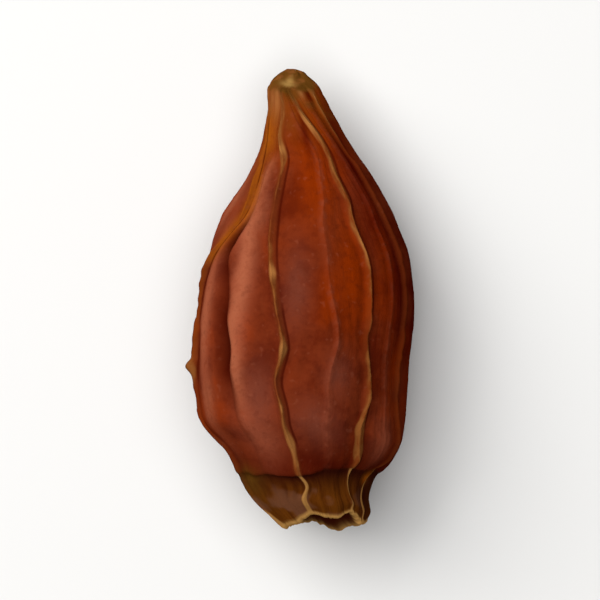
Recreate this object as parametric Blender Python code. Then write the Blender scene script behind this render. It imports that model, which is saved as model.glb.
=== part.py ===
"""Dried gardenia fruit lying on its side: a pod with six wavy ribs, its stalk scar and its torn crown.

The stalk end points to +Y and the crown to -Y. Angles round the pod start straight up and grow to +X.
"""

import math
from collections import namedtuple

import bmesh
import bpy
import numpy as np

MM = 0.001

# Driving dimensions
LENGTH = 28.7 * MM  # places along the pod are shares of this
GIRTH_RADIUS = 6.2 * MM  # widest part of the pod, without its ribs
FLATTENING = 0.95  # height of the cross-section as a share of its width

# Ribs: thin wings whose height comes and goes
RIB_HEIGHT = 0.45 * MM
RIB_HALF_WIDTH = 0.44 * MM
RIB_SWING = 0.14  # share of the height
RIB_SWINGS_ALONG = 5
RIB_SWING_STEP = 2.1  # radians from one rib to the next
CREST_SHARPNESS = 1.4

# Torn tips that stand out of the ribs: rib, place along the pod, height
SPUR_SPREAD = 0.013
SPURS = (
    (0, 0.653, 0.38 * MM),
    (1, 0.185, 0.20 * MM),
    (1, 0.475, 0.18 * MM),
    (1, 0.622, 0.26 * MM),
    (2, 0.865, 0.20 * MM),
)

# How far the torn edge of the crown reaches, on each rib and then on the line that follows it
CROWN_REACHES = tuple(
    reach * MM for reach in (1.05, 0.90, 0.41, 0.65, 0.24, 0.50, 0.80, 0.55, 0.80, 0.30, 0.45, 0.00)
)

# How it rests
REST_PITCH = math.radians(2.4)  # the stalk end dips until the weight is over the flat spots
FLAT_DEPTH = 0.15 * MM  # how much of the underside is flattened

# Columns of points from one line round the pod to the next
FOOT_COLUMNS = (0.0, 0.5, 1.0)
FIELD_COLUMNS = (0.33, 0.67)
WIDEST_FOOT = 0.42  # share of the way to the next line that a foot may take, where the pod is slim

SHARP_EDGE = math.radians(60)
CUT_TOLERANCE = 0.0001 * MM

SKIN_COLOUR = (0.20, 0.040, 0.014, 1.0)
SKIN_ROUGHNESS = 0.5

# The turned outline from the stalk scar over the pod, round the crown's edge and down to its cup's floor.
# along: place along the pod. radius: share of GIRTH_RADIUS. relief: share of the ribs' height.
# tear: how far the torn edge carries the point along. lean: how far the top of the ring lies towards the
# stalk end, for each unit of height. rings: number of rings from this point to the next.
Outline = namedtuple("Outline", "along radius relief tear lean rings")
OUTLINE = (
    Outline(0.015, 0.000, 0.0, 0.0, -0.90, 1),
    Outline(0.015, 0.045, 0.0, 0.0, -0.90, 1),
    Outline(0.021, 0.080, 0.0, 0.0, -0.85, 1),
    Outline(0.021, 0.116, 0.1, 0.0, -0.80, 1),
    Outline(0.027, 0.152, 0.3, 0.0, -0.60, 1),
    Outline(0.040, 0.198, 0.6, 0.0, -0.33, 1),
    Outline(0.060, 0.229, 0.6, 0.0, -0.15, 2),
    Outline(0.105, 0.288, 0.6, 0.0, 0.0, 3),
    Outline(0.180, 0.420, 0.7, 0.0, 0.0, 4),
    Outline(0.260, 0.620, 0.9, 0.0, 0.0, 4),
    Outline(0.335, 0.800, 1.0, 0.0, 0.0, 5),
    Outline(0.420, 0.952, 1.0, 0.0, 0.0, 6),
    Outline(0.540, 1.028, 1.0, 0.0, 0.0, 6),
    Outline(0.650, 1.010, 1.0, 0.0, 0.0, 5),
    Outline(0.750, 0.972, 1.0, 0.0, 0.0, 2),
    Outline(0.790, 0.926, 0.9, 0.0, 0.0, 3),
    Outline(0.850, 0.766, 0.8, 0.0, 0.01, 2),
    Outline(0.881, 0.690, 0.7, 0.0, 0.02, 1),
    Outline(0.889, 0.634, 0.7, 0.1, 0.03, 2),
    Outline(0.925, 0.556, 0.6, 0.3, 0.06, 1),
    Outline(0.951, 0.494, 0.6, 0.5, 0.09, 1),
    Outline(0.962, 0.426, 0.5, 0.9, 0.11, 1),
    Outline(0.969, 0.405, 0.2, 1.0, 0.11, 1),
    Outline(0.963, 0.355, 0.1, 1.0, 0.11, 2),
    Outline(0.925, 0.320, 0.0, 0.3, 0.05, 1),
    Outline(0.905, 0.200, 0.0, 0.0, 0.0, 1),
    Outline(0.905, 0.000, 0.0, 0.0, 0.0, 0),
)

# Sideways bend of the axis: (place along the pod, offset in millimetres)
BEND = (
    (0.00, -0.34), (0.03, -0.52), (0.08, -0.24), (0.13, 0.03), (0.20, 0.42), (0.33, 0.42), (0.48, 0.34),
    (0.60, 0.12), (0.72, -0.05), (0.78, 0.12), (0.82, 0.62), (0.86, 0.70), (0.90, 0.42), (0.94, 0.72),
    (0.97, 1.50), (1.00, 2.00),
)

# The course of each rib: (place along the pod, degrees round it). They twist by about 30 degrees.
RIB_COURSES = (
    (
        (0.00, -80), (0.13, -70), (0.20, -64), (0.27, -54), (0.33, -52), (0.38, -64), (0.42, -75),
        (0.47, -83), (0.60, -86), (0.80, -84), (0.90, -78), (0.95, -74), (1.00, -72),
    ),
    (
        (0.00, -32), (0.05, -31), (0.09, -31), (0.13, -35), (0.155, -38), (0.18, -33), (0.20, -29),
        (0.25, -27), (0.35, -23), (0.44, -20), (0.55, -14), (0.62, -10), (0.69, -13), (0.76, -10),
        (0.83, -13), (0.87, -11), (0.92, -1), (0.95, -12), (1.00, -22),
    ),
    (
        (0.00, -12), (0.06, -8), (0.11, 5), (0.15, 20), (0.25, 26), (0.29, 31), (0.34, 31), (0.43, 37),
        (0.52, 38), (0.61, 37), (0.69, 41), (0.74, 41), (0.82, 34), (0.87, 37), (0.91, 39), (0.94, 43),
        (1.00, 39),
    ),
    (
        (0.00, 54), (0.05, 50), (0.08, 46), (0.12, 51), (0.22, 60), (0.34, 67), (0.50, 70), (0.65, 68),
        (0.76, 74), (0.85, 79), (0.90, 67), (1.00, 68),
    ),
    ((0.00, 124), (0.25, 137), (0.45, 148), (0.62, 151), (0.80, 152), (1.00, 165)),
    ((0.00, 206), (0.25, 204), (0.45, 212), (0.62, 210), (0.80, 217), (1.00, 230)),
)

# The fields between the ribs, each after the rib of its number. A line runs along each: a raised vein, or a
# pleat, whose height is negative. Its stations are (place along the pod, place between the two ribs, height
# in millimetres). The swell is how far the middle of the field stands out.
VEIN_HALF_WIDTH = 0.36 * MM
PLEAT_HALF_WIDTH = 0.80 * MM
Field = namedtuple("Field", "line half_width swell")
FIELDS = (
    Field(
        (
            (0.00, 0.80, -0.02), (0.18, 0.60, -0.08), (0.25, 0.34, -0.22), (0.33, 0.26, -0.38),
            (0.38, 0.30, -0.70), (0.415, 0.34, -0.96), (0.45, 0.44, -0.60), (0.50, 0.52, -0.56),
            (0.56, 0.51, -0.78), (0.62, 0.53, -0.98), (0.66, 0.54, -0.76), (0.70, 0.58, -0.52),
            (0.74, 0.58, -0.44), (0.79, 0.58, -0.32), (0.86, 0.54, -0.14), (1.00, 0.50, -0.05),
        ),
        PLEAT_HALF_WIDTH,
        0.42 * MM,
    ),
    Field(
        (
            (0.00, 0.55, 0.02), (0.12, 0.60, 0.03), (0.20, 0.74, 0.06), (0.29, 0.66, 0.09),
            (0.36, 0.60, 0.09), (0.48, 0.55, 0.10), (0.61, 0.62, 0.13), (0.67, 0.55, 0.08),
            (0.75, 0.52, 0.05), (1.00, 0.50, 0.04),
        ),
        VEIN_HALF_WIDTH,
        0.32 * MM,
    ),
    Field(
        ((0.00, 0.48, 0.03), (0.30, 0.55, 0.08), (0.65, 0.47, 0.10), (1.00, 0.52, 0.04)),
        VEIN_HALF_WIDTH,
        0.30 * MM,
    ),
    Field(
        (
            (0.00, 0.55, -0.06), (0.35, 0.56, -0.16), (0.60, 0.60, -0.45), (0.80, 0.58, -0.30),
            (1.00, 0.50, -0.10),
        ),
        PLEAT_HALF_WIDTH,
        0.66 * MM,
    ),
    Field(
        ((0.00, 0.50, 0.04), (0.40, 0.47, 0.06), (0.75, 0.45, 0.06), (1.00, 0.52, 0.04)),
        VEIN_HALF_WIDTH,
        -0.40 * MM,
    ),
    Field(
        (
            (0.00, 0.46, 0.05), (0.35, 0.55, 0.15), (0.70, 0.50, 0.14), (0.90, 0.52, 0.06),
            (0.94, 0.68, 0.16), (0.97, 0.80, 0.04), (1.00, 0.80, 0.02),
        ),
        VEIN_HALF_WIDTH,
        0.38 * MM,
    ),
)
LINES = 2 * len(FIELDS)


def flowing(stations, x):
    """The smooth curve through (x, value) stations, read at x."""
    xs, values = (np.array(column, float) for column in zip(*stations))
    slopes = np.gradient(values, xs)
    x = np.clip(x, xs[0], xs[-1])
    i = np.clip(np.searchsorted(xs, x, side="right") - 1, 0, len(xs) - 2)
    span = xs[i + 1] - xs[i]
    t = (x - xs[i]) / span
    start = (1 + 2 * t) * (1 - t) ** 2 * values[i] + t * (1 - t) ** 2 * span * slopes[i]
    end = t * t * (3 - 2 * t) * values[i + 1] + t * t * (t - 1) * span * slopes[i + 1]
    return start + end


def outline_rings():
    """Arrays of along, radius, relief, tear and lean: a value for each ring and for both end points."""
    steps = [i + k / point.rings for i, point in enumerate(OUTLINE) for k in range(point.rings)]
    steps = np.array(steps + [len(OUTLINE) - 1.0])
    kinds = list(zip(*OUTLINE))[:-1]
    return [flowing(list(enumerate(values)), steps) for values in kinds]


def line_angles(along):
    """Degrees of each rib and then its field's line at these places, and of the first rib again."""
    ribs = [flowing(course, along) for course in RIB_COURSES]
    ribs.append(ribs[0] + 360)
    lines = []
    for start, end, field in zip(ribs, ribs[1:], FIELDS):
        places = [(where, place) for where, place, _ in field.line]
        lines += [start, start + flowing(places, along) * (end - start)]
    return lines + [ribs[-1]]


def line_heights(along):
    """How far the crest of each rib and each field's line stands out at these places."""
    heights = []
    for rib, field in enumerate(FIELDS):
        swing = np.sin(2 * np.pi * RIB_SWINGS_ALONG * along + RIB_SWING_STEP * rib)
        height = RIB_HEIGHT * (1 + RIB_SWING * swing)
        for spur_rib, place, reach in SPURS:
            if spur_rib == rib:
                height = height + reach * np.exp(-(((along - place) / SPUR_SPREAD) ** 2))
        stations = [(where, rise * MM) for where, _, rise in field.line]
        heights += [height, flowing(stations, along)]
    return heights


def columns(lines, radius):
    """Each column of points: its degrees at every ring, the line whose foot it is on, how near it is to
    that line's crest, and its field."""
    found = []
    for k, (start, end) in enumerate(zip(lines, lines[1:])):
        field = k // 2
        widths = (RIB_HALF_WIDTH, FIELDS[field].half_width)
        arc = np.radians(end - start) * radius
        if k % 2 == 1:
            widths = widths[::-1]
        here, there = (np.minimum(width / arc, WIDEST_FOOT) for width in widths)
        places = [(here * q, k, 1 - q) for q in FOOT_COLUMNS]
        places += [(here + (1 - here - there) * q, k, 0.0) for q in FIELD_COLUMNS]
        places += [(1 - there * q, k + 1, 1 - q) for q in FOOT_COLUMNS[:0:-1]]
        for place, line, nearness in places:
            found.append((start + place * (end - start), line % LINES, nearness, field))
    return found


def torn_edge(share, field):
    """How far the crown's edge reaches past its mean place, at this share of the way across the field."""
    place = 2 * (field + share)
    before = np.floor(place).astype(int)
    reaches = np.array(CROWN_REACHES)
    onward = np.sin(np.pi / 2 * (place - before)) ** 2
    return (1 - onward) * reaches[before % LINES] + onward * reaches[(before + 1) % LINES]


def pod_points():
    """Points of the pod's rings, an array of rings by columns by 3, and its two end points."""
    along, radius, relief, tear, lean = outline_rings()
    radius = radius * GIRTH_RADIUS
    centre = flowing(BEND, along) * MM
    y = LENGTH * (0.5 - along)
    ends = [(centre[k], y[k], 0.0) for k in (0, -1)]
    along, radius, relief, tear, lean, centre, y = (
        values[1:-1] for values in (along, radius, relief, tear, lean, centre, y)
    )
    lines = line_angles(along)
    heights = line_heights(along)
    points = []
    for degrees, line, nearness, field in columns(lines, radius):
        first, second = lines[2 * field], lines[2 * field + 2]
        share = (degrees - first) / (second - first)
        swell = FIELDS[field].swell * np.sin(np.pi * share)
        out = radius + relief * (heights[line] * nearness**CREST_SHARPNESS + swell)
        x = centre + out * np.sin(np.radians(degrees))
        z = out * np.cos(np.radians(degrees)) * FLATTENING
        points.append(np.stack((x, y - tear * torn_edge(share, field) + lean * z, z), axis=1))
    return np.stack(points, axis=1), np.array(ends)


def pitched(points):
    """The points turned about the X axis to the pitch at which the fruit rests."""
    x, y, z = np.moveaxis(points, -1, 0)
    pitch_sin, pitch_cos = math.sin(REST_PITCH), math.cos(REST_PITCH)
    return np.stack((x, y * pitch_cos + z * pitch_sin, z * pitch_cos - y * pitch_sin), axis=-1)


def set_down(*groups):
    """Lowers the points until the flats' depth is below the table, and centres them over the origin."""
    everything = np.concatenate([group.reshape(-1, 3) for group in groups])
    low, high = everything.min(axis=0), everything.max(axis=0)
    shift = -(low + high) / 2
    shift[2] = -low[2] - FLAT_DEPTH
    return [group + shift for group in groups]


def skinned(points, ends):
    """One closed mesh over the rings and the two end points."""
    bm = bmesh.new()
    loops = [[bm.verts.new(point) for point in ring] for ring in points]
    for before, after in zip(loops, loops[1:]):
        for k in range(len(before)):
            bm.faces.new((before[k - 1], before[k], after[k], after[k - 1]))
    for loop, end in ((loops[0], ends[0]), (loops[-1][::-1], ends[1])):
        pole = bm.verts.new(end)
        for k in range(len(loop)):
            bm.faces.new((loop[k], loop[k - 1], pole))
    bmesh.ops.triangulate(bm, faces=bm.faces)
    bmesh.ops.recalc_face_normals(bm, faces=bm.faces)
    return bm


def flatten_underside(bm):
    """Cuts away what lies below the table, which leaves the flat spots that the fruit rests on."""
    geometry = bm.verts[:] + bm.edges[:] + bm.faces[:]
    cut = bmesh.ops.bisect_plane(
        bm, geom=geometry, dist=CUT_TOLERANCE, plane_co=(0, 0, 0), plane_no=(0, 0, 1), clear_inner=True
    )
    rim = [edge for edge in cut["geom_cut"] if isinstance(edge, bmesh.types.BMEdge)]
    bmesh.ops.triangulate(bm, faces=bmesh.ops.holes_fill(bm, edges=rim)["faces"])


def skin_material():
    material = bpy.data.materials.new("dried_skin")
    material.use_nodes = True
    shader = material.node_tree.nodes["Principled BSDF"]
    shader.inputs["Base Color"].default_value = SKIN_COLOUR
    shader.inputs["Roughness"].default_value = SKIN_ROUGHNESS
    shader.inputs["Metallic"].default_value = 0.0
    return material


def fruit_object():
    points, ends = pod_points()
    points, ends = set_down(pitched(points), pitched(ends))
    bm = skinned(points, ends)
    flatten_underside(bm)
    mesh = bpy.data.meshes.new("gardenia_fruit")
    bm.to_mesh(mesh)
    bm.free()
    mesh.shade_smooth()
    mesh.set_sharp_from_angle(angle=SHARP_EDGE)
    mesh.materials.append(skin_material())
    return bpy.data.objects.new("gardenia_fruit", mesh)


def main():
    for obj in list(bpy.data.objects):
        bpy.data.objects.remove(obj)
    bpy.context.scene.collection.objects.link(fruit_object())


main()
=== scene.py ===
import math
from collections import namedtuple

import bpy
import numpy as np
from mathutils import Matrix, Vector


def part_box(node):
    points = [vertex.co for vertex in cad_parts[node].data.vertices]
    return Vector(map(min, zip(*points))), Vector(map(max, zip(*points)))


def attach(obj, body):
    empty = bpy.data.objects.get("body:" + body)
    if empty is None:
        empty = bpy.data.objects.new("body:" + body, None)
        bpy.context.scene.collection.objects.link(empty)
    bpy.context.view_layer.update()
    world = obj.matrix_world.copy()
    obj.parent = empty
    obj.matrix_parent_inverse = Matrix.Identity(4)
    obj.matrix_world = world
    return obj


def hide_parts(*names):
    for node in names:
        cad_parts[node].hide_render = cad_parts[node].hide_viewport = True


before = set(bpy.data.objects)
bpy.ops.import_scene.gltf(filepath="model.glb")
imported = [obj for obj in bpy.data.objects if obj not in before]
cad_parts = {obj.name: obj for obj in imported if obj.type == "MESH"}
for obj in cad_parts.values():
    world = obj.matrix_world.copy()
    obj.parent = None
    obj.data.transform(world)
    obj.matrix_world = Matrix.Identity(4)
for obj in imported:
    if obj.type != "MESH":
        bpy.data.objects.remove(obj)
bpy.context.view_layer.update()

# The looks of a dried gardenia fruit. Its pod is made again from the CAD part's own formula, with fine
# relief. The stalk end points to +Y and the crown to -Y. Angles round the pod start straight up and grow
# to +X.

NODE = "gardenia_fruit"
MM = 0.001

# Driving dimensions, as in the CAD part
LENGTH = 28.7 * MM  # places along the pod are shares of this
GIRTH_RADIUS = 6.2 * MM  # widest part of the pod, without its ribs
FLATTENING = 0.95  # height of the cross-section as a share of its width
RIB_HEIGHT = 0.45 * MM
RIB_HALF_WIDTH = 0.44 * MM
RIB_SWING = 0.14  # share of the height
RIB_SWINGS_ALONG = 5
RIB_SWING_STEP = 2.1  # radians from one rib to the next

# Spurs on the ribs' crests: (rib, place along it, how far it stands out)
SPUR_SPREAD = 0.013
SPURS = (
    (0, 0.653, 0.38 * MM),
    (1, 0.185, 0.20 * MM),
    (1, 0.475, 0.18 * MM),
    (1, 0.622, 0.26 * MM),
    (2, 0.865, 0.20 * MM),
)

# How far the crown's edge reaches on each rib and then on the line after it
CROWN_REACHES = tuple(
    reach * MM for reach in (1.05, 0.90, 0.41, 0.65, 0.24, 0.50, 0.80, 0.55, 0.80, 0.30, 0.45, 0.00)
)

REST_PITCH = math.radians(2.4)  # the stalk end dips until the weight is over the flat spots
FLAT_DEPTH = 0.15 * MM  # how much of the underside is flattened

# How finely the pod is divided
FINER_RINGS = 4
FOOT_COLUMNS = np.linspace(0, 1, 8)
FIELD_COLUMNS = np.linspace(0, 1, 14)[1:-1]
WIDEST_FOOT = 0.42  # share of the way to the next line that a foot may take, where the pod is slim

# The section across a rib, and across a field's line
RIB_FOOT = 0.3  # share of the rise that is even, from the foot up
RIB_SHARPNESS = 2.4
LINE_SHARPNESS = 1.5

# Fine relief that the CAD part leaves out. A span is the size of its features in millimetres. Where there
# are three, the last one is along the pod.
RAGGED_CREST = 0.22  # share of a rib's height
RAGGED_SPAN = 0.9
RIB_LEAN = 0.08 * MM
DOWN_LINE_SPAN = 3.3
DENT_DEPTH = 0.075 * MM
DENT_SPAN = 3.1
WRINKLE_DEPTH = 0.034 * MM
WRINKLE_SPANS = (0.75, 0.75, 6.0)
GRAIN_DEPTH = 0.010 * MM
GRAIN_SPAN = 0.28
HUSK_DEPTH = 0.045 * MM  # fibres of the crown and of the stalk end
FIBRE_SPANS = (0.42, 0.42, 4.0)
SIDE_VEIN_HEIGHT = 0.035 * MM
SIDE_VEIN_STEP = 2.3 * MM
SIDE_VEIN_SPREAD = 0.13 * MM
SIDE_VEIN_SLOPE = 1.3
SIDE_VEIN_SWAY = 0.5 * MM
SWAY_SPAN = 1.7
SIDE_VEIN_BREAK_SPAN = 2.4
RIM_TATTERS = 0.09 * MM
TATTER_SPAN = 0.9

# The outline from the middle of the scar over the pod and into the crown's cup. Radius is a share of the
# girth's, relief and tear are shares of the ribs' height and of the crown's reaches, lean tilts the ring,
# and rings counts the CAD part's rings up to the next point.
Outline = namedtuple("Outline", "along radius relief tear lean rings")
OUTLINE = (
    Outline(0.015, 0.000, 0.0, 0.0, -0.90, 1),
    Outline(0.015, 0.045, 0.0, 0.0, -0.90, 1),
    Outline(0.021, 0.080, 0.0, 0.0, -0.85, 1),
    Outline(0.021, 0.116, 0.1, 0.0, -0.80, 1),
    Outline(0.027, 0.152, 0.3, 0.0, -0.60, 1),
    Outline(0.040, 0.198, 0.6, 0.0, -0.33, 1),
    Outline(0.060, 0.229, 0.6, 0.0, -0.15, 2),
    Outline(0.105, 0.288, 0.6, 0.0, 0.0, 3),
    Outline(0.180, 0.420, 0.7, 0.0, 0.0, 4),
    Outline(0.260, 0.620, 0.9, 0.0, 0.0, 4),
    Outline(0.335, 0.800, 1.0, 0.0, 0.0, 5),
    Outline(0.420, 0.952, 1.0, 0.0, 0.0, 6),
    Outline(0.540, 1.028, 1.0, 0.0, 0.0, 6),
    Outline(0.650, 1.010, 1.0, 0.0, 0.0, 5),
    Outline(0.750, 0.972, 1.0, 0.0, 0.0, 2),
    Outline(0.790, 0.926, 0.9, 0.0, 0.0, 3),
    Outline(0.850, 0.766, 0.8, 0.0, 0.01, 2),
    Outline(0.881, 0.690, 0.7, 0.0, 0.02, 1),
    Outline(0.889, 0.634, 0.7, 0.1, 0.03, 2),
    Outline(0.925, 0.556, 0.6, 0.3, 0.06, 1),
    Outline(0.951, 0.494, 0.6, 0.5, 0.09, 1),
    Outline(0.962, 0.426, 0.5, 0.9, 0.11, 1),
    Outline(0.969, 0.405, 0.2, 1.0, 0.11, 1),
    Outline(0.963, 0.355, 0.1, 1.0, 0.11, 2),
    Outline(0.925, 0.320, 0.0, 0.3, 0.05, 1),
    Outline(0.905, 0.200, 0.0, 0.0, 0.0, 1),
    Outline(0.905, 0.000, 0.0, 0.0, 0.0, 0),
)
SKIN_ENDS = 17  # the outline point where the red skin stops, on the step down to the crown
RIM = 22  # the outline point on the crown's edge

# Where things start and stop, counted in outline points
GRAIN_STARTS = (1, 3)
RIBS_START = (3.0, 5.5)
FIBRES_START = (3, 6)
SCAR_STOPS = (3.0, 4.6)
TIP_STOPS = (4.2, 7.0)
SKIN_STARTS = (5.5, 8.5)
HUSK_STARTS = (SKIN_ENDS + 0.2, SKIN_ENDS + 0.9)
HEM_MIDDLE = SKIN_ENDS + 0.4
HEM_SPREAD = 1.1
SHADE_MIDDLE = SKIN_ENDS + 0.9  # painted shade just below the hem, where the skin's edge overhangs the collar
SHADE_SPREAD = 0.9
RIM_TONE_STARTS = (-0.95, -0.50)  # from the rim
RIM_TONE_STOPS = (0.5, 1.2)  # from the rim
RIM_WAVER = 0.12
TIP_WAVER = 1.3
WAVER_SPANS = (0.8, 0.7)  # of the rim and of the tip, in millimetres
CUP_STARTS = (RIM, RIM + 0.8)

# Where things start and stop, as places along the pod
NECK_STOPS = (0.06, 0.24)
# painted shade on the skin as it nears the hem
LOW_SHADE_STARTS = (0.81, 0.882)
FOLD_CREST_STARTS = (0.18, 0.24)
FOLD_CREST_STOPS = (0.66, 0.80)
OCHRE_BAND_STARTS = (0.14, 0.22)
OCHRE_BAND_STOPS = (0.41, 0.45)
OCHRE_CREST_STARTS = (0.12, 0.17)
OCHRE_CREST_STOPS = (0.66, 0.72)

# How far the middle of the pod lies to the side, in millimetres at places along it
BEND = (
    (0.00, -0.34), (0.03, -0.52), (0.08, -0.24), (0.13, 0.03), (0.20, 0.42), (0.33, 0.42), (0.48, 0.34),
    (0.60, 0.12), (0.72, -0.05), (0.78, 0.12), (0.82, 0.62), (0.86, 0.70), (0.90, 0.42), (0.94, 0.72),
    (0.97, 1.50), (1.00, 2.00),
)

# The courses of the six ribs: (place along the pod, degrees round it)
RIB_COURSES = (
    (
        (0.00, -80), (0.13, -70), (0.20, -64), (0.27, -54), (0.33, -52), (0.38, -64), (0.42, -75),
        (0.47, -83), (0.60, -86), (0.80, -84), (0.90, -78), (0.95, -74), (1.00, -72),
    ),
    (
        (0.00, -32), (0.05, -31), (0.09, -31), (0.13, -35), (0.155, -38), (0.18, -33), (0.20, -29),
        (0.25, -27), (0.35, -23), (0.44, -20), (0.55, -14), (0.62, -10), (0.69, -13), (0.76, -10),
        (0.83, -13), (0.87, -11), (0.92, -1), (0.95, -12), (1.00, -22),
    ),
    (
        (0.00, -12), (0.06, -8), (0.11, 5), (0.15, 20), (0.25, 26), (0.29, 31), (0.34, 31), (0.43, 37),
        (0.52, 38), (0.61, 37), (0.69, 41), (0.74, 41), (0.82, 34), (0.87, 37), (0.91, 39), (0.94, 43),
        (1.00, 39),
    ),
    (
        (0.00, 54), (0.05, 50), (0.08, 46), (0.12, 51), (0.22, 60), (0.34, 67), (0.50, 70), (0.65, 68),
        (0.76, 74), (0.85, 79), (0.90, 67), (1.00, 68),
    ),
    ((0.00, 124), (0.25, 137), (0.45, 148), (0.62, 151), (0.80, 152), (1.00, 165)),
    ((0.00, 206), (0.25, 204), (0.45, 212), (0.62, 210), (0.80, 217), (1.00, 230)),
)

# The fields between the ribs. Each has a line of its own, a vein that stands out or a pleat that sinks in:
# (place along the pod, share of the way across the field, millimetres out). Swell is how far the field
# itself bulges.
VEIN_HALF_WIDTH = 0.36 * MM
PLEAT_HALF_WIDTH = 0.80 * MM
Field = namedtuple("Field", "line half_width swell")
FIELDS = (
    Field(
        (
            (0.00, 0.80, -0.02), (0.18, 0.60, -0.08), (0.25, 0.34, -0.22), (0.33, 0.26, -0.38),
            (0.38, 0.30, -0.70), (0.415, 0.34, -0.96), (0.45, 0.44, -0.60), (0.50, 0.52, -0.56),
            (0.56, 0.51, -0.78), (0.62, 0.53, -0.98), (0.66, 0.54, -0.76), (0.70, 0.58, -0.52),
            (0.74, 0.58, -0.44), (0.79, 0.58, -0.32), (0.86, 0.54, -0.14), (1.00, 0.50, -0.05),
        ),
        PLEAT_HALF_WIDTH,
        0.42 * MM,
    ),
    Field(
        (
            (0.00, 0.55, 0.02), (0.12, 0.60, 0.03), (0.20, 0.74, 0.06), (0.29, 0.66, 0.09),
            (0.36, 0.60, 0.09), (0.48, 0.55, 0.10), (0.61, 0.62, 0.13), (0.67, 0.55, 0.08),
            (0.75, 0.52, 0.05), (1.00, 0.50, 0.04),
        ),
        VEIN_HALF_WIDTH,
        0.32 * MM,
    ),
    Field(
        ((0.00, 0.48, 0.03), (0.30, 0.55, 0.08), (0.65, 0.47, 0.10), (1.00, 0.52, 0.04)),
        VEIN_HALF_WIDTH,
        0.30 * MM,
    ),
    Field(
        (
            (0.00, 0.55, -0.06), (0.35, 0.56, -0.16), (0.60, 0.60, -0.45), (0.80, 0.58, -0.30),
            (1.00, 0.50, -0.10),
        ),
        PLEAT_HALF_WIDTH,
        0.66 * MM,
    ),
    Field(
        ((0.00, 0.50, 0.04), (0.40, 0.47, 0.06), (0.75, 0.45, 0.06), (1.00, 0.52, 0.04)),
        VEIN_HALF_WIDTH,
        -0.40 * MM,
    ),
    Field(
        (
            (0.00, 0.46, 0.05), (0.35, 0.55, 0.15), (0.70, 0.50, 0.14), (0.90, 0.52, 0.06),
            (0.94, 0.68, 0.16), (0.97, 0.80, 0.04), (1.00, 0.80, 0.02),
        ),
        VEIN_HALF_WIDTH,
        0.38 * MM,
    ),
)
LINES = 2 * len(FIELDS)

# Rib crests are pale. For each rib, the nearness to its crest at which the pale starts, at places along it;
# above 1 there is none.
PALE_STARTS = (
    (
        (0.00, 0.60), (0.09, 0.80), (0.16, 1.20), (0.62, 1.20), (0.65, 0.55), (0.67, 0.75), (0.72, 1.10),
        (0.86, 1.10), (0.94, 1.00), (0.965, 0.15), (1.00, 0.10),
    ),
    (
        (0.00, 0.40), (0.11, 0.42), (0.155, 0.58), (0.18, 0.42), (0.22, 0.70), (0.42, 0.80), (0.455, 0.56),
        (0.50, 0.82), (0.60, 0.78), (0.622, 0.50), (0.65, 0.76), (0.78, 0.74), (0.825, 0.52),
        (0.86, 0.70), (0.92, 0.70), (1.00, 0.66),
    ),
    (
        (0.00, 0.60), (0.06, 0.40), (0.14, 0.36), (0.20, 0.52), (0.28, 0.68), (0.40, 0.74), (0.47, 0.88),
        (0.60, 0.90), (0.72, 0.70), (0.78, 0.34), (0.84, 0.22), (0.87, 0.42), (0.89, 0.66), (1.00, 0.66),
    ),
    ((0.00, 0.55), (0.12, 0.80), (0.20, 1.20), (0.84, 1.20), (0.92, 0.70), (1.00, 0.55)),
    ((0.00, 0.60), (0.30, 0.80), (1.00, 0.65)),
    ((0.00, 0.60), (0.30, 0.80), (1.00, 0.65)),
)

# How far the lower edge of the red skin dips towards the crown, on each rib and then on the line after it
HEM_DIPS = tuple(
    dip * MM for dip in (-0.05, 0.15, 0.35, -0.10, -0.22, -0.20, -0.25, 0.0, 0.20, -0.10, 0.15, 0.0)
)
HEM_RAGS = 0.07 * MM
HEM_RAG_SPAN = 0.8

# The crest of the fold beside the left groove, raised and given a painted rosy highlight: (place along the
# pod, degrees round it)
FOLD_CREST = (
    (0.19, -37), (0.21, -40), (0.26, -43), (0.31, -42), (0.36, -38), (0.41, -36), (0.47, -37), (0.53, -38),
    (0.59, -41), (0.64, -38), (0.68, -37), (0.75, -34), (0.82, -32),
)
FOLD_CREST_HEIGHT = 0.09 * MM
PLEAT_SHADE_DEPTHS = (0.20, 0.75)  # millimetres of a pleat's depth over which painted shade comes in
FOLD_CREST_BREADTH = 5.0  # degrees

# The ochre band on the first rib, where it crosses the pod
OCHRE_BREADTH = 8.0  # degrees from its middle to where it has faded to about a third
OCHRE_SHIFT = 1.0  # degrees from the rib's crest to the band's middle
OCHRE_CREST = 0.35  # strength on the crest itself

# Painted shade in the crease at the foot of each rib, on its side away from the light
FOOT_SHADE_PLACE = 0.25  # nearness to the rib's crest
FOOT_SHADE_SPREAD = 0.20
FOOT_SHADE_TO_LIGHT = 0.12  # strength on the side towards the light
FOOT_SHADE_ON_RIGHT = 0.3  # strength on the rib of the right flank
RIGHT_RIB_LINE = 6

PALE_WAVER = 0.16  # how much the start of the pale crests wavers

# Patches of the skin: more orange, a painted rosy sheen, a painted mauve sheen, painted highlights on
# crests, pale knobs, painted shade, ochre, tan, olive and the stalk's scar. Each patch: its place along the
# pod, its degrees round it, half its length as a share of the pod's, and half its breadth in degrees.
WARM_PATCHES = (
    (0.24, 8, 0.13, 20),
    (0.13, 25, 0.07, 30),
    (0.46, 27, 0.15, 12),
    (0.42, 53, 0.20, 8),
    (0.50, 14, 0.07, 7),
    (0.65, 63, 0.06, 6),
)
# Painted sheen: rosier patches
ROSY_SHEEN_PATCHES = (
    (0.34, -41, 0.08, 8),
    (0.46, -37, 0.10, 7),
    (0.58, -37, 0.10, 6),
    (0.80, -32, 0.09, 12),
    (0.30, -88, 0.08, 12),
    (0.56, -66, 0.22, 8),
    (0.83, 56, 0.06, 10),
)
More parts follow.
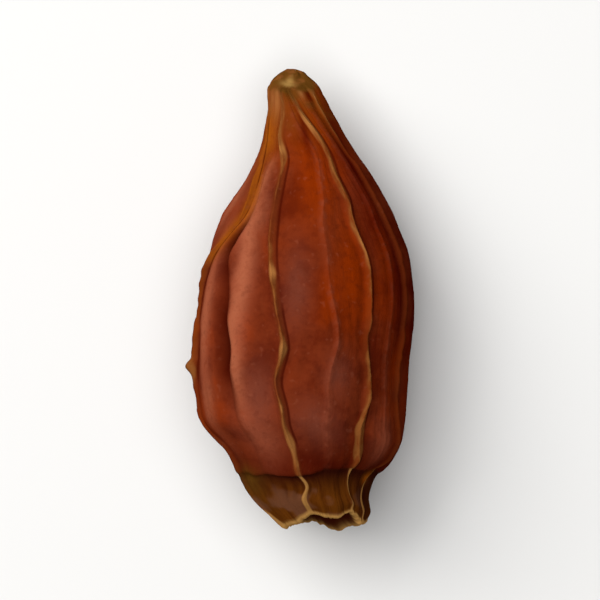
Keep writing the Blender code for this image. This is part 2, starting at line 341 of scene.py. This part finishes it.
# Painted sheen: mauve patches
MAUVE_SHEEN_PATCHES = (
    (0.49, -5, 0.08, 7),
    (0.68, 21, 0.05, 8),
    (0.72, -24, 0.07, 9),
    (0.78, 8, 0.05, 14),
)
# Painted highlights on crests
CREST_HIGHLIGHT_PATCHES = (
    (0.54, -66, 0.11, 6),
    (0.73, -62, 0.05, 7),
    (0.29, -80, 0.05, 9),
    (0.335, -38, 0.05, 9),
)
KNOB_PATCHES = (
    (0.185, -30, 0.012, 7),
    (0.455, -19, 0.016, 6),
    (0.622, -10, 0.018, 6),
    (0.825, -12, 0.030, 6),
    (0.125, 11, 0.030, 12),
    (0.400, 35, 0.030, 7),
)
# Painted shade: darker patches, mostly on the right flank, away from the light
SHADE_PATCHES = (
    (0.27, 53, 0.17, 16),
    (0.46, 66, 0.20, 18),
    (0.55, 98, 0.36, 24),
    (0.93, 72, 0.05, 20),
    (0.15, 3, 0.05, 6),
    (0.14, 62, 0.07, 22),
    (0.06, 36, 0.04, 9),
)
OCHRE_PATCHES = (
    (0.16, -62, 0.06, 20),
    (0.898, 66, 0.010, 7),
    (0.08, 50, 0.05, 8),
)
TAN_PATCHES = (
    (0.045, -42, 0.035, 13),
    (0.075, -52, 0.045, 20),
    (0.045, 18, 0.020, 8),
)
OLIVE_PATCHES = (
    (0.036, -22, 0.012, 24),
    (0.030, 34, 0.010, 26),
    (0.048, -14, 0.020, 14),
    (0.90, -62, 0.03, 18),
)
SCAR_PATCHES = ((0.023, -22, 0.007, 30),)


# Noise

HASH_STEPS = np.array((374761393, 668265263, 1013904223), np.uint64)
HASH_MIX = np.uint64(1274126177)
OCTAVE_SCALE = 2.1
OCTAVE_SHIFT = 7.3
RIBS_APART = 9.1  # keeps the noise of one rib apart from the next one's
LINES_APART = 3.7

# One seed for each use
DENT_SEED = 3
WRINKLE_SEED = 5
GRAIN_SEED = 7
RAGGED_SEED = 11
FIBRE_SEED = 13
LEAN_SEED = 17
TATTER_SEED = 19
HEM_SEED = 23
FOOT_SHADE_SEED = 29
SWAY_SEED = 31
VEIN_BREAK_SEED = 37
TIP_SEED = 43
RIM_SEED = 47
PALE_SEED = 53


def lattice(corner, seed):
    """A number from -1 to 1 for each whole-numbered place, the same in each run."""
    mixed = (corner.astype(np.uint64) * HASH_STEPS).sum(axis=-1) + np.uint64(seed) * HASH_MIX
    mixed = (mixed ^ (mixed >> np.uint64(13))) * HASH_MIX
    mixed = mixed ^ (mixed >> np.uint64(16))
    return (mixed & np.uint64(0xFFFF)).astype(float) / 0x7FFF - 1


def noise(points, seed):
    """Smooth noise of about -1 to 1, with features about one unit across."""
    base = np.floor(points)
    t = points - base
    t = t * t * t * (t * (6 * t - 15) + 10)
    total = 0
    for corner in np.ndindex(2, 2, 2):
        weight = np.prod(np.where(corner, t, 1 - t), axis=-1)
        total = total + weight * lattice((base + corner).astype(np.int64), seed)
    return total


def rough(points, seed, octaves=3):
    """Noise with finer and weaker noise on it."""
    return sum(noise(points * OCTAVE_SCALE**k + OCTAVE_SHIFT * k, seed + k) / 2**k for k in range(octaves))


def smooth_step(low, high, x):
    t = np.clip((x - low) / (high - low), 0, 1)
    return t * t * (3 - 2 * t)


# The pod's form


def flowing(stations, x):
    """The smooth curve through (x, value) stations, read at x."""
    xs, values = (np.array(column, float) for column in zip(*stations))
    slopes = np.gradient(values, xs)
    x = np.clip(x, xs[0], xs[-1])
    i = np.clip(np.searchsorted(xs, x, side="right") - 1, 0, len(xs) - 2)
    span = xs[i + 1] - xs[i]
    t = (x - xs[i]) / span
    start = (1 + 2 * t) * (1 - t) ** 2 * values[i] + t * (1 - t) ** 2 * span * slopes[i]
    end = t * t * (3 - 2 * t) * values[i + 1] + t * t * (t - 1) * span * slopes[i + 1]
    return start + end


def outline_steps():
    """Where each ring lies on the outline, counted in outline points."""
    steps = []
    for i, point in enumerate(OUTLINE):
        count = point.rings * FINER_RINGS
        steps += [i + k / count for k in range(count)]
    return np.array(steps + [len(OUTLINE) - 1.0])


def line_angles(along):
    """Degrees of each rib and then its field's line at these places, and of the first rib again."""
    ribs = [flowing(course, along) for course in RIB_COURSES]
    ribs.append(ribs[0] + 360)
    lines = []
    for start, end, field in zip(ribs, ribs[1:], FIELDS):
        places = [(where, place) for where, place, _ in field.line]
        lines += [start, start + flowing(places, along) * (end - start)]
    return lines + [ribs[-1]]


def line_heights(along):
    """How far the crest of each rib and each field's line stands out at these places."""
    heights = []
    for rib, field in enumerate(FIELDS):
        swing = np.sin(2 * np.pi * RIB_SWINGS_ALONG * along + RIB_SWING_STEP * rib)
        place_mm = along * LENGTH / MM
        down_rib = np.stack((place_mm / RAGGED_SPAN, 0 * along + RIBS_APART * rib, 0 * along), axis=-1)
        ragged = rough(down_rib, RAGGED_SEED)
        height = RIB_HEIGHT * (1 + RIB_SWING * swing + RAGGED_CREST * ragged)
        for spur_rib, place, reach in SPURS:
            if spur_rib == rib:
                height = height + reach * np.exp(-(((along - place) / SPUR_SPREAD) ** 2))
        stations = [(where, rise * MM) for where, _, rise in field.line]
        heights += [height, flowing(stations, along)]
    return np.stack(heights, axis=1)


Grid = namedtuple("Grid", "degrees turn share line nearness field")


def column_grid(lines, radius):
    """The columns of points. Arrays of rings by columns: degrees round the pod, turn (12 to the full round,
    a whole number on each line) and share of the way across the field. Arrays of columns: line whose foot
    the column is on, nearness to that line's crest, and field."""
    degrees, turns, shares, on_line, near, in_field = [], [], [], [], [], []
    for k, (start, end) in enumerate(zip(lines, lines[1:])):
        field = k // 2
        widths = (RIB_HALF_WIDTH, FIELDS[field].half_width)
        arc = np.radians(end - start) * radius
        if k % 2 == 1:
            widths = widths[::-1]
        here, there = (np.minimum(width / arc, WIDEST_FOOT) for width in widths)
        places = [(here * q, k, 1 - q) for q in FOOT_COLUMNS]
        places += [(here + (1 - here - there) * q, k, 0.0) for q in FIELD_COLUMNS]
        places += [(1 - there * q, k + 1, 1 - q) for q in FOOT_COLUMNS[:0:-1]]
        first, second = lines[2 * field], lines[2 * field + 2]
        for place, line, nearness in places:
            angle = start + place * (end - start)
            degrees.append(angle)
            turns.append(k + place)
            shares.append((angle - first) / (second - first))
            on_line.append(line % LINES)
            near.append(nearness)
            in_field.append(field)
    grids = (np.stack(values, axis=1) for values in (degrees, turns, shares))
    return Grid(*grids, np.array(on_line), np.array(near), np.array(in_field))


def around(values, grid):
    """The value at each column, between the values that the ribs and the lines after them have."""
    values = np.array(values)
    place = 2 * (grid.field + grid.share)
    before = np.floor(place).astype(int)
    onward = np.sin(np.pi / 2 * (place - before)) ** 2
    return (1 - onward) * values[before % LINES] + onward * values[(before + 1) % LINES]


def shortest(degrees):
    """The same turns, taken the short way round."""
    return (degrees + 180) % 360 - 180


def patched(patches, along, degrees):
    """1 in the middle of each patch, fading to 0 around it."""
    fades = [
        np.exp(-(((along - place) / length) ** 2) - (shortest(degrees - turn) / breadth) ** 2)
        for place, turn, length, breadth in patches
    ]
    return np.max(fades, axis=0)


def foot_shades(grid, rib, down_line):
    """1 where shade is painted in the crease at the foot of each rib, on its far side from the light, with
    breaks.
    """
    side = np.where(grid.share < 0.5, 1.0, FOOT_SHADE_TO_LIGHT)
    side = side * np.where(grid.line == RIGHT_RIB_LINE, FOOT_SHADE_ON_RIGHT, 1.0)
    strength = smooth_step(-0.7, 0.2, noise(down_line * (1.6, 1, 1), FOOT_SHADE_SEED))
    return np.exp(-(((rib - FOOT_SHADE_PLACE) / FOOT_SHADE_SPREAD) ** 2)) * (rib > 0) * side * strength


def pale_crests(grid, along, rib, down_line):
    """1 on the pale crest line of each rib, which wavers."""
    starts = np.stack([flowing(stations, along[:, 0]) for stations in PALE_STARTS], axis=1)
    start = starts[:, grid.line // 2]
    start = start + PALE_WAVER * noise(down_line * (4.5, 1, 1), PALE_SEED)
    return smooth_step(start - 0.14, start + 0.18, rib)


def fold_crest(along, degrees):
    """1 on the crest of the fold beside the left groove."""
    off = (degrees - flowing(FOLD_CREST, along)) / FOLD_CREST_BREADTH
    length = smooth_step(*FOLD_CREST_STARTS, along) * (1 - smooth_step(*FOLD_CREST_STOPS, along))
    return np.exp(-(off**2)) * length


def ochre_rib(grid, along, rib):
    """1 along the first rib where it crosses the pod as a broad ochre band, and less further on."""
    off = shortest(grid.degrees - flowing(RIB_COURSES[0], along) - OCHRE_SHIFT) / OCHRE_BREADTH
    broad = np.exp(-(off**2)) * smooth_step(*OCHRE_BAND_STARTS, along)
    broad = broad * (1 - smooth_step(*OCHRE_BAND_STOPS, along))
    crest = np.where(grid.line == 0, np.sqrt(rib), 0.0) * (1 - smooth_step(*OCHRE_CREST_STOPS, along))
    return np.maximum(broad, OCHRE_CREST * crest**4 * smooth_step(*OCHRE_CREST_STARTS, along))


def side_veins(grid, grown, radius):
    """Relief of the fine veins that run slantwise from each field's line to its ribs."""
    middle = np.array([np.mean([place for _, place, _ in field.line]) for field in FIELDS])
    across = np.abs(grid.share - middle[grid.field]) * np.radians(360 / len(FIELDS)) * radius
    sway = SIDE_VEIN_SWAY * noise(grown / SWAY_SPAN, SWAY_SEED)
    slant = grown[..., 2] * MM - SIDE_VEIN_SLOPE * across + sway
    off = np.abs(slant / SIDE_VEIN_STEP % 1 - 0.5) * SIDE_VEIN_STEP
    strength = smooth_step(-0.3, 0.5, noise(grown / SIDE_VEIN_BREAK_SPAN, VEIN_BREAK_SEED))
    return SIDE_VEIN_HEIGHT * strength * np.exp(-((off / SIDE_VEIN_SPREAD) ** 2))


Rings = namedtuple("Rings", "steps along radius relief tear lean centre y")
Places = namedtuple("Places", "rib on_line heights grown mean down_line")
Zones = namedtuple("Zones", "husk neck cup skin")


def outline_rings():
    """The rings from the scar to the bottom of the cup, and what the outline and the bend say there."""
    steps = outline_steps()
    kinds = list(zip(*OUTLINE))[:-1]
    along, radius, relief, tear, lean = (flowing(list(enumerate(values)), steps) for values in kinds)
    centre = flowing(BEND, along) * MM
    y = LENGTH * (0.5 - along)
    return Rings(steps, along, radius * GIRTH_RADIUS, relief, tear, lean, centre, y)


def pod_places(grid, ring):
    """Where each point lies: near which crests, and as places for the noise, in millimetres. Grown places
    go round and along the pod as if it were straight and even."""
    rib = np.where(grid.line % 2 == 0, grid.nearness, 0.0) + 0 * ring.along
    on_line = np.where(grid.line % 2 == 1, grid.nearness, 0.0) + 0 * ring.along
    heights = line_heights(ring.along[:, 0])[:, grid.line]
    turn = grid.turn * np.pi / len(FIELDS)
    girth = (np.sin(turn) * GIRTH_RADIUS, np.cos(turn) * GIRTH_RADIUS)
    grown = np.stack((*girth, ring.along * LENGTH), axis=-1) / MM
    angle = np.radians(grid.degrees)
    mean = np.stack((ring.radius * np.sin(angle), ring.y, ring.radius * np.cos(angle)), axis=-1) / MM
    down = ring.along * LENGTH / MM / DOWN_LINE_SPAN
    down_line = np.stack((down, grid.line * LINES_APART + 0 * down, 0 * down), axis=-1)
    return Places(rib, on_line, heights, grown, mean, down_line)


def pod_zones(ring):
    """How much each point belongs to the crown, the stalk end, the crown's cup and the skin between."""
    husk = smooth_step(*HUSK_STARTS, ring.steps)
    neck = 1 - smooth_step(*NECK_STOPS, ring.along)
    cup = smooth_step(*CUP_STARTS, ring.steps)
    skin = (1 - husk) * smooth_step(*SKIN_STARTS, ring.steps)
    return Zones(husk, neck, cup, skin)


def pod_reach(grid, ring, at, zone):
    """How far each point lies from the pod's middle, with the fine relief."""
    rib_section = RIB_FOOT * at.rib + (1 - RIB_FOOT) * at.rib**RIB_SHARPNESS
    section = np.where(at.rib > 0, rib_section, at.on_line**LINE_SHARPNESS)
    swell = np.array([field.swell for field in FIELDS])[grid.field] * np.sin(np.pi * grid.share)
    reach = ring.radius + ring.relief * (at.heights * section + swell)
    reach += zone.skin * DENT_DEPTH * rough(at.mean / DENT_SPAN, DENT_SEED) * (1 - at.rib)
    wrinkles = rough(at.grown / WRINKLE_SPANS, WRINKLE_SEED) * (1 - 0.6 * at.rib)
    reach += zone.skin * WRINKLE_DEPTH * wrinkles
    reach += zone.skin * side_veins(grid, at.grown, ring.radius) * (1 - at.rib)
    reach += FOLD_CREST_HEIGHT * fold_crest(ring.along, grid.degrees) * (1 - at.rib)
    grain = rough(at.mean / GRAIN_SPAN, GRAIN_SEED, 2)
    reach += GRAIN_DEPTH * grain * smooth_step(*GRAIN_STARTS, ring.steps)
    fibrous = np.maximum(zone.husk * (1 - 0.5 * zone.cup), zone.neck * ring.relief)
    fibres = rough(at.grown / FIBRE_SPANS, FIBRE_SEED) * smooth_step(*FIBRES_START, ring.steps)
    return reach + HUSK_DEPTH * fibrous * fibres


def pod_points(grid, ring, at, reach):
    """The points of the rings, with the ribs' lean, the skin's ragged lower edge and the torn rim."""
    lean = RIB_LEAN * ring.relief * at.rib**2 * noise(at.down_line, LEAN_SEED)
    angle = np.radians(grid.degrees) + lean / np.maximum(reach, RIB_HEIGHT)
    x = ring.centre + reach * np.sin(angle)
    z = reach * np.cos(angle) * FLATTENING
    rags = HEM_RAGS * rough(at.grown * (1, 1, 0) / HEM_RAG_SPAN, HEM_SEED)
    near_hem = np.exp(-(((ring.steps - HEM_MIDDLE) / HEM_SPREAD) ** 2))
    hem = near_hem * (around(HEM_DIPS, grid) + rags)
    tatters = RIM_TATTERS * rough(at.grown * (1, 1, 0) / TATTER_SPAN, TATTER_SEED)
    torn = ring.tear * (around(CROWN_REACHES, grid) + tatters)
    return np.stack((x, ring.y - hem - torn + ring.lean * z, z), axis=-1)


def pod_masks(grid, ring, at, zone):
    """The masks for the pod's material, by name."""

    def patches(places):
        return patched(places, ring.along, grid.degrees)

    ribs = smooth_step(*RIBS_START, ring.steps)
    shade = np.exp(-(((ring.steps - SHADE_MIDDLE) / SHADE_SPREAD) ** 2))
    from_rim = ring.steps - RIM + RIM_WAVER * noise(at.mean / WAVER_SPANS[0], RIM_SEED)
    rim = smooth_step(*RIM_TONE_STARTS, from_rim) * (1 - smooth_step(*RIM_TONE_STOPS, from_rim))
    from_tip = ring.steps + TIP_WAVER * noise(at.mean / WAVER_SPANS[1], TIP_SEED)
    pleat_shade_share = smooth_step(*PLEAT_SHADE_DEPTHS, -at.heights / MM)
    return {
        "rib": at.rib * ribs,
        "pale": pale_crests(grid, ring.along, at.rib, at.down_line) * ribs,
        "warm": patches(WARM_PATCHES),
        # painted rosy sheen
        "rosy_sheen": patches(ROSY_SHEEN_PATCHES),
        # painted shade, mostly on the right flank
        "side_shade": patches(SHADE_PATCHES),
        # painted mauve sheen
        "mauve_sheen": patches(MAUVE_SHEEN_PATCHES),
        "ochre": np.maximum(patches(OCHRE_PATCHES), ochre_rib(grid, ring.along, at.rib)),
        "tan": patches(TAN_PATCHES),
        "olive": patches(OLIVE_PATCHES),
        # painted highlight on the fold's crest and on other crests
        "crest": np.maximum(fold_crest(ring.along, grid.degrees), 0.8 * patches(CREST_HIGHLIGHT_PATCHES)),
        "knob": patches(KNOB_PATCHES),
        # painted shade at the ribs' feet, away from the light
        "foot_shade": foot_shades(grid, at.rib, at.down_line) * zone.skin,
        "vein": at.on_line * (at.heights > 0) * zone.skin,
        # painted shade in the pleats, stronger where they sink deeper
        "pleat_shade": at.on_line**0.8 * pleat_shade_share * zone.skin,
        "husk": zone.husk,
        # painted shade just below the hem
        "shade": shade,
        # painted shade on the skin as it nears the hem
        "low": smooth_step(*LOW_SHADE_STARTS, ring.along),
        "neck": zone.neck,
        "cup": zone.cup,
        "rim": rim,
        "scar": patches(SCAR_PATCHES) * (1 - smooth_step(*SCAR_STOPS, ring.steps)),
        "tip": 1 - smooth_step(*TIP_STOPS, from_tip),
    }


def pod():
    """Points of the pod's rings (rings by columns by 3), its two end points, the masks for its material and
    the grown places of its points."""
    ring = outline_rings()
    ends = np.array([(ring.centre[k], ring.y[k], 0.0) for k in (0, -1)])
    ring = Rings(*(values[1:-1] for values in ring))
    grid = column_grid(line_angles(ring.along), ring.radius)
    ring = Rings(*(values[:, None] + 0 * grid.turn for values in ring))
    at = pod_places(grid, ring)
    zone = pod_zones(ring)
    points = pod_points(grid, ring, at, pod_reach(grid, ring, at, zone))
    return points, ends, pod_masks(grid, ring, at, zone), at.grown


def pitched(points):
    """The points turned about the X axis to the pitch at which the fruit rests."""
    x, y, z = np.moveaxis(points, -1, 0)
    pitch_sin, pitch_cos = math.sin(REST_PITCH), math.cos(REST_PITCH)
    return np.stack((x, y * pitch_cos + z * pitch_sin, z * pitch_cos - y * pitch_sin), axis=-1)


def fitted(points):
    """The points set down on the flats and matched to the CAD node's box, from which they differ little."""
    low, high = (np.array(corner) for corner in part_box(NODE))
    own_low, own_high = points.min(axis=0), points.max(axis=0)
    own_low[2] += FLAT_DEPTH
    placed = low + (points - own_low) * (high - low) / (own_high - own_low)
    placed[:, 2] = np.maximum(placed[:, 2], low[2])
    return placed


def fruit_mesh():
    points, ends, masks, grown = pod()
    rings, columns = points.shape[:2]
    vertices = fitted(pitched(np.concatenate((points.reshape(-1, 3), ends))))
    index = np.arange(rings * columns).reshape(rings, columns)
    following = np.roll(index, -1, axis=1)
    quads = np.stack((index[:-1], following[:-1], following[1:], index[1:]), axis=-1).reshape(-1, 4)
    first, last = rings * columns, rings * columns + 1
    start_cap = [(first, a, b) for a, b in zip(index[0].tolist(), following[0].tolist())]
    end_cap = [(last, b, a) for a, b in zip(index[-1].tolist(), following[-1].tolist())]
    mesh = bpy.data.meshes.new("gardenia_pod")
    mesh.from_pydata(vertices.tolist(), [], quads[:, ::-1].tolist() + start_cap + end_cap)
    mesh.shade_smooth()
    for name, values in masks.items():
        column = np.append(values.ravel(), (values[0].mean(), values[-1].mean()))
        mesh.attributes.new(name, "FLOAT", "POINT").data.foreach_set("value", column.astype(np.float32))
    vectors = np.concatenate((grown.reshape(-1, 3), grown[0, :1], grown[-1, :1])).astype(np.float32)
    mesh.attributes.new("grown", "FLOAT_VECTOR", "POINT").data.foreach_set("vector", vectors.ravel())
    return mesh


# Material


def tone(red, green, blue):
    """The linear colour of a tone given from 0 to 255, as a picture shows it."""
    shares = (red / 255, green / 255, blue / 255)
    linear = [((c + 0.055) / 1.055) ** 2.4 if c > 0.04 else c / 12.92 for c in shares]
    return (*linear, 1.0)


SKIN_RED = tone(100, 37, 16)
SKIN_DARK = tone(76, 21, 7)
SKIN_ORANGE = tone(120, 38, 1)
# Rosy tone of the painted sheen, and of the veins' lines
SKIN_ROSE = tone(134, 66, 44)
SKIN_BROWN = tone(92, 37, 18)
# Painted shade on the skin's side away from the light
SKIN_SHADE = tone(68, 5, 1)
SKIN_PINK = tone(140, 78, 56)
# Painted highlight on crests
CREST_HIGHLIGHT = tone(148, 82, 56)
# Painted mauve sheen
MAUVE_SHEEN = tone(102, 50, 36)
# Painted shade: in the pleats, at the ribs' feet and on the skin near the hem
SHADE_RED = tone(58, 8, 2)
OCHRE = tone(138, 70, 9)
NECK_OCHRE = tone(104, 45, 5)
TIP_BROWN = tone(90, 56, 17)
NECK_PALE = tone(136, 84, 44)
RIB_TAN = tone(118, 70, 32)
RIB_PALE = tone(150, 98, 50)
RIB_BROWN = tone(102, 48, 17)
HUSK_OLIVE = tone(92, 48, 9)
HUSK_ROSE = tone(98, 60, 40)
HUSK_DARK = tone(70, 32, 5)
RIM_TAN = tone(162, 120, 64)
# Painted shade on the collar: below the hem and on the side away from the light
COLLAR_SHADE = tone(40, 8, 4)
CUP_BROWN = tone(60, 18, 5)
SCAR_TAN = tone(152, 116, 62)
SCAR_DARK = tone(78, 48, 12)

# Features of the material's noises, a metre
ORANGE_CLOUDS = 250.0
SKIN_CLOUDS = 380.0
HUSK_CLOUDS = 520.0
TIP_BLOTCHES = 1500.0
MOTTLE = 1700.0
SPECKS = 2300.0
FINE_GRAIN = 4200.0
BUMP_DEPTH = 0.03 * MM


class Shading:
    """Short calls for the nodes of one material."""

    def __init__(self, material):
        material.use_nodes = True
        self.tree = material.node_tree
        self.shader = self.tree.nodes["Principled BSDF"]

    def node(self, kind, inputs, **settings):
        made = self.tree.nodes.new(kind)
        for name, value in settings.items():
            setattr(made, name, value)
        for name, value in inputs.items():
            if isinstance(value, bpy.types.NodeSocket):
                self.tree.links.new(value, made.inputs[name])
            else:
                made.inputs[name].default_value = value
        return made

    def mask(self, name):
        return self.node("ShaderNodeAttribute", {}, attribute_name=name).outputs["Fac"]

    def grown(self):
        return self.node("ShaderNodeAttribute", {}, attribute_name="grown").outputs["Vector"]

    def place(self):
        return self.node("ShaderNodeTexCoord", {}).outputs["Object"]

    def stretched(self, vector, scale):
        return self.node("ShaderNodeMapping", {"Vector": vector, "Scale": scale}).outputs["Vector"]

    def noise(self, vector, scale, detail=4.0, roughness=0.55):
        inputs = {"Vector": vector, "Scale": scale, "Detail": detail, "Roughness": roughness}
        return self.node("ShaderNodeTexNoise", inputs).outputs["Fac"]

    def between(self, value, low, high, bottom=0.0, top=1.0):
        """The value's way from low to high, as a smooth step from bottom to top."""
        inputs = {"Value": value, "From Min": low, "From Max": high, "To Min": bottom, "To Max": top}
        return self.node("ShaderNodeMapRange", inputs, interpolation_type="SMOOTHSTEP").outputs["Result"]

    def maths(self, operation, first, second):
        return self.node("ShaderNodeMath", {0: first, 1: second}, operation=operation).outputs[0]

    def masked(self, name, share):
        """The mask of this name, made weaker by a share."""
        return self.maths("MULTIPLY", self.mask(name), share)

    def blend(self, share, low, high):
        inputs = {0: share, 6: low, 7: high}
        return self.node("ShaderNodeMix", inputs, data_type="RGBA").outputs[2]

    def to_shader(self, name, value):
        self.tree.links.new(value, self.shader.inputs[name])


def skin_colour(s):
    place, grown = s.place(), s.grown()
    clouds = s.noise(place, SKIN_CLOUDS, 4.0, 0.6)
    streaks = s.noise(s.stretched(grown, (1.5, 1.5, 0.25)), 1.0, 5.0, 0.6)
    mottle = s.noise(place, MOTTLE, 4.0, 0.65)
    colour = s.blend(s.between(clouds, 0.34, 0.60), SKIN_DARK, SKIN_RED)
    orange = s.noise(place, ORANGE_CLOUDS, 2.0)
    colour = s.blend(s.between(orange, 0.50, 0.66, 0.0, 0.5), colour, SKIN_ORANGE)
    colour = s.blend(s.masked("warm", s.between(clouds, 0.25, 0.5, 0.6, 1.0)), colour, SKIN_ORANGE)
    # painted rosy sheen
    colour = s.blend(s.masked("rosy_sheen", s.between(mottle, 0.3, 0.6, 0.6, 1.0)), colour, SKIN_ROSE)
    # painted highlight on crests
    colour = s.blend(s.masked("crest", s.between(mottle, 0.35, 0.6, 0.5, 0.9)), colour, CREST_HIGHLIGHT)
    # painted mauve sheen
    colour = s.blend(s.masked("mauve_sheen", s.between(mottle, 0.35, 0.6, 0.6, 0.9)), colour, MAUVE_SHEEN)
    colour = s.blend(s.between(streaks, 0.52, 0.74, 0.0, 0.3), colour, SKIN_BROWN)
    colour = s.blend(s.between(mottle, 0.45, 0.70, 0.0, 0.35), colour, SKIN_DARK)
    colour = s.blend(s.masked("neck", s.between(streaks, 0.3, 0.6, 0.4, 0.9)), colour, NECK_OCHRE)
    colour = s.blend(s.masked("tan", s.between(streaks, 0.3, 0.6, 0.5, 1.0)), colour, NECK_PALE)
    colour = s.blend(s.masked("ochre", s.between(mottle, 0.3, 0.6, 0.6, 0.95)), colour, OCHRE)
    specks = s.noise(place, SPECKS, 1.0, 0.5)
    colour = s.blend(s.between(specks, 0.64, 0.76, 0.0, 0.14), colour, SKIN_PINK)
    # painted shade in the pleats and at the ribs' feet, away from the light
    colour = s.blend(s.maths("MAXIMUM", s.mask("pleat_shade"), s.masked("foot_shade", 0.85)), colour, SHADE_RED)
    colour = s.blend(s.masked("vein", s.between(mottle, 0.4, 0.65, 0.1, 0.45)), colour, SKIN_ROSE)
    # painted shade, mostly on the right flank away from the light
    colour = s.blend(s.masked("side_shade", s.between(clouds, 0.3, 0.6, 0.95, 0.7)), colour, SKIN_SHADE)
    # painted shade on the skin as it nears the hem
    return s.blend(s.masked("low", 0.7), colour, SHADE_RED)


def rib_colour(s, colour):
    flecks = s.noise(s.stretched(s.grown(), (2.2, 2.2, 0.9)), 1.0, 4.0, 0.65)
    crest = s.blend(s.between(flecks, 0.36, 0.58), RIB_BROWN, RIB_TAN)
    crest = s.blend(s.maths("MAXIMUM", s.mask("knob"), s.between(flecks, 0.60, 0.72)), crest, RIB_PALE)
    crest = s.blend(s.masked("husk", 0.7), crest, RIM_TAN)
    colour = s.blend(s.between(s.mask("rib"), 0.2, 0.8, 0.0, 0.3), colour, RIB_BROWN)
    return s.blend(s.masked("pale", 0.92), colour, crest)


def husk_colour(s, colour):
    fibres = s.noise(s.stretched(s.grown(), (1.5, 1.5, 0.5)), 1.0, 5.0, 0.6)
    clouds = s.noise(s.place(), HUSK_CLOUDS, 2.0)
    husk = s.blend(s.between(fibres, 0.32, 0.62), HUSK_DARK, HUSK_OLIVE)
    husk = s.blend(s.between(clouds, 0.52, 0.64, 0.0, 0.8), husk, HUSK_ROSE)
    # painted shade below the hem, where the skin's edge overhangs the collar
    husk = s.blend(s.masked("shade", 0.95), husk, COLLAR_SHADE)
    # painted shade on the collar's side away from the light
    husk = s.blend(s.masked("side_shade", 0.9), husk, COLLAR_SHADE)
    husk = s.blend(s.masked("ochre", 0.7), husk, OCHRE)
    bare = s.masked("husk", s.between(s.mask("pale"), 0.2, 0.8, 1.0, 0.0))
    colour = s.blend(bare, colour, husk)
    colour = s.blend(s.mask("cup"), colour, CUP_BROWN)
    return s.blend(s.masked("rim", s.between(fibres, 0.3, 0.55, 0.6, 1.0)), colour, RIM_TAN)


def scar_colour(s, colour):
    blotches = s.noise(s.place(), TIP_BLOTCHES, 3.0)
    tip = s.blend(s.between(blotches, 0.50, 0.70), TIP_BROWN, RIB_TAN)
    colour = s.blend(s.masked("tip", 0.95), colour, tip)
    colour = s.blend(s.masked("olive", s.between(blotches, 0.3, 0.6, 0.6, 1.0)), colour, SCAR_DARK)
    return s.blend(s.mask("scar"), colour, SCAR_TAN)


def dried_skin():
    material = bpy.data.materials.new("dried_skin")
    s = Shading(material)
    colour = rib_colour(s, skin_colour(s))
    s.to_shader("Base Color", scar_colour(s, husk_colour(s, colour)))

    fine = s.noise(s.place(), FINE_GRAIN, 5.0, 0.6)
    coarse = s.noise(s.stretched(s.grown(), (3.0, 3.0, 0.9)), 1.0, 4.0, 0.6)
    matt = s.maths("MAXIMUM", s.mask("husk"), s.masked("rib", 0.8))
    roughness = s.maths("ADD", s.between(coarse, 0.3, 0.7, 0.40, 0.54), s.maths("MULTIPLY", matt, 0.25))
    s.to_shader("Roughness", roughness)
    height = s.maths("ADD", fine, s.maths("MULTIPLY", coarse, 1.5))
    bump = s.node("ShaderNodeBump", {"Height": height, "Strength": 0.6, "Distance": BUMP_DEPTH})
    s.to_shader("Normal", bump.outputs["Normal"])
    s.shader.inputs["Specular IOR Level"].default_value = 0.0
    return material


def make_fruit():
    mesh = fruit_mesh()
    mesh.materials.append(dried_skin())
    fruit = bpy.data.objects.new("gardenia_pod", mesh)
    bpy.context.scene.collection.objects.link(fruit)
    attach(fruit, "root")
    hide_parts(NODE)


# Floor, light and camera

FLOOR_SIZE = 1.2
FLOOR_TONE = (0.68, 0.68, 0.677, 1.0)
CAMERA_HEIGHT = 0.42
LENS = 400.0  # a long lens, millimetres for a 36 mm wide picture

Light = namedtuple("Light", "name watts size place colour")
LIGHTS = (
    Light("key", 3.2, 0.45, (-0.34, 0.26, 0.37), (1.0, 0.985, 0.96)),
    Light("top", 4.3, 0.70, (-0.05, 0.05, 0.60), (1.0, 0.995, 0.985)),
)
SKY_TONE = (0.98, 0.98, 1.0, 1.0)
SKY_STRENGTH = 0.06


def make_floor():
    material = bpy.data.materials.new("pale_floor")
    s = Shading(material)
    s.shader.inputs["Base Color"].default_value = FLOOR_TONE
    s.shader.inputs["Roughness"].default_value = 0.8
    s.shader.inputs["Specular IOR Level"].default_value = 0.1
    mesh = bpy.data.meshes.new("floor")
    half = FLOOR_SIZE / 2
    corners = [(-half, -half, 0), (half, -half, 0), (half, half, 0), (-half, half, 0)]
    mesh.from_pydata(corners, [], [(0, 1, 2, 3)])
    mesh.materials.append(material)
    floor = bpy.data.objects.new("floor", mesh)
    bpy.context.scene.collection.objects.link(floor)


def make_light(light):
    data = bpy.data.lights.new(light.name, "AREA")
    data.energy = light.watts
    data.size = light.size
    data.color = light.colour
    lamp = bpy.data.objects.new(light.name, data)
    lamp.location = light.place
    lamp.rotation_mode = "QUATERNION"
    lamp.rotation_quaternion = lamp.location.to_track_quat("Z", "Y")
    bpy.context.scene.collection.objects.link(lamp)


def make_sky():
    world = bpy.data.worlds.new("studio")
    world.use_nodes = True
    background = world.node_tree.nodes["Background"]
    background.inputs["Color"].default_value = SKY_TONE
    background.inputs["Strength"].default_value = SKY_STRENGTH
    bpy.context.scene.world = world


def make_camera():
    data = bpy.data.cameras.new("camera")
    data.lens = LENS
    camera = bpy.data.objects.new("camera", data)
    camera.location = (0.0, 0.0, CAMERA_HEIGHT)
    bpy.context.scene.collection.objects.link(camera)
    bpy.context.scene.camera = camera


bpy.context.scene.view_settings.view_transform = "Standard"
make_fruit()
make_floor()
for light in LIGHTS:
    make_light(light)
make_sky()
make_camera()
